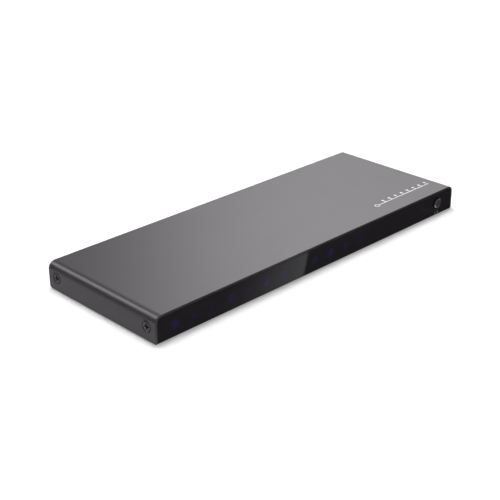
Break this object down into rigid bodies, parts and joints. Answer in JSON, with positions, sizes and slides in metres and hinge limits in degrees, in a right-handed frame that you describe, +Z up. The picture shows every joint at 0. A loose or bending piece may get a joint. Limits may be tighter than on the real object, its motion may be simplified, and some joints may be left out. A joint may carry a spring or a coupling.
{
  "type": "hdmi splitter",
  "caption": "Slim HDMI splitter box: folded metal cover over a tray, gloss front panel with indicator lamps and a push button, HDMI sockets and a power jack in the rear wall.",
  "frame": {"origin": "on the standing surface, under the middle of the body", "axes": "+X to the right across the front, +Y from front to rear, +Z up"},
  "size_m": [0.25, 0.0914, 0.0161],
  "materials": {
    "cover_paint": "satin gunmetal coat with a very fine grain",
    "tray_paint": "satin gunmetal coat",
    "gloss_black": "polished smoked acrylic",
    "foam_tape": "matt foam tape",
    "black_zinc": "black zinc plate",
    "bright_steel": "bright plate",
    "foot_rubber": "matt rubber",
    "white_plastic": "moulded",
    "clear_plastic": "clear moulded acrylic",
    "button_finish": "black, satin",
    "black_plastic": "moulded",
    "board_laminate": "solder mask over glass laminate",
    "socket_shell": "nickel plate",
    "contact_gold": "gold flash",
    "jack_metal": "nickel plate",
    "chip_black": "moulded epoxy",
    "thermal_pad": "soft pad",
    "sink_metal": "anodised",
    "inductor_grey": "pressed iron powder",
    "capacitor_can": "bright can"
  },
  "bodies": {
    "housing": {"top_cover": "cover_paint", "base_tray": "tray_paint", "front_panel": "gloss_black", "panel_tape": "foam_tape", "side_screws": "black_zinc", "clinch_nuts": "bright_steel", "board_standoffs": "bright_steel", "board_screws": "bright_steel", "crystal": "bright_steel", "rubber_feet": "foot_rubber", "light_bar": "white_plastic", "indicator_leds": "white_plastic", "light_pipes": "clear_plastic", "switch_body": "black_plastic", "jack_body": "black_plastic", "hdmi_insulator_in": "black_plastic", "hdmi_insulator_1": "black_plastic", "hdmi_insulator_2": "black_plastic", "hdmi_insulator_3": "black_plastic", "hdmi_insulator_4": "black_plastic", "hdmi_insulator_5": "black_plastic", "hdmi_insulator_6": "black_plastic", "hdmi_insulator_7": "black_plastic", "hdmi_insulator_8": "black_plastic", "main_board": "board_laminate", "hdmi_shell_in": "socket_shell", "hdmi_shell_1": "socket_shell", "hdmi_shell_2": "socket_shell", "hdmi_shell_3": "socket_shell", "hdmi_shell_4": "socket_shell", "hdmi_shell_5": "socket_shell", "hdmi_shell_6": "socket_shell", "hdmi_shell_7": "socket_shell", "hdmi_shell_8": "socket_shell", "hdmi_contacts": "contact_gold", "jack_pin": "jack_metal", "jack_leaf": "jack_metal", "splitter_chips": "chip_black", "input_chip": "chip_black", "controller_chip": "chip_black", "surge_arrays": "chip_black", "thermal_pads": "thermal_pad", "heat_sinks": "sink_metal", "power_inductors": "inductor_grey", "filter_capacitors": "capacitor_can"},
    "button": {"push_button": "button_finish", "switch_plunger": "white_plastic"}
  },
  "joints": [
    {"name": "button_press", "type": "slide", "parent": "housing", "child": "button", "axis": [0, 1, 0], "range_m": [0, 0.0008], "stiffness_N_per_m": 1500}
  ]
}
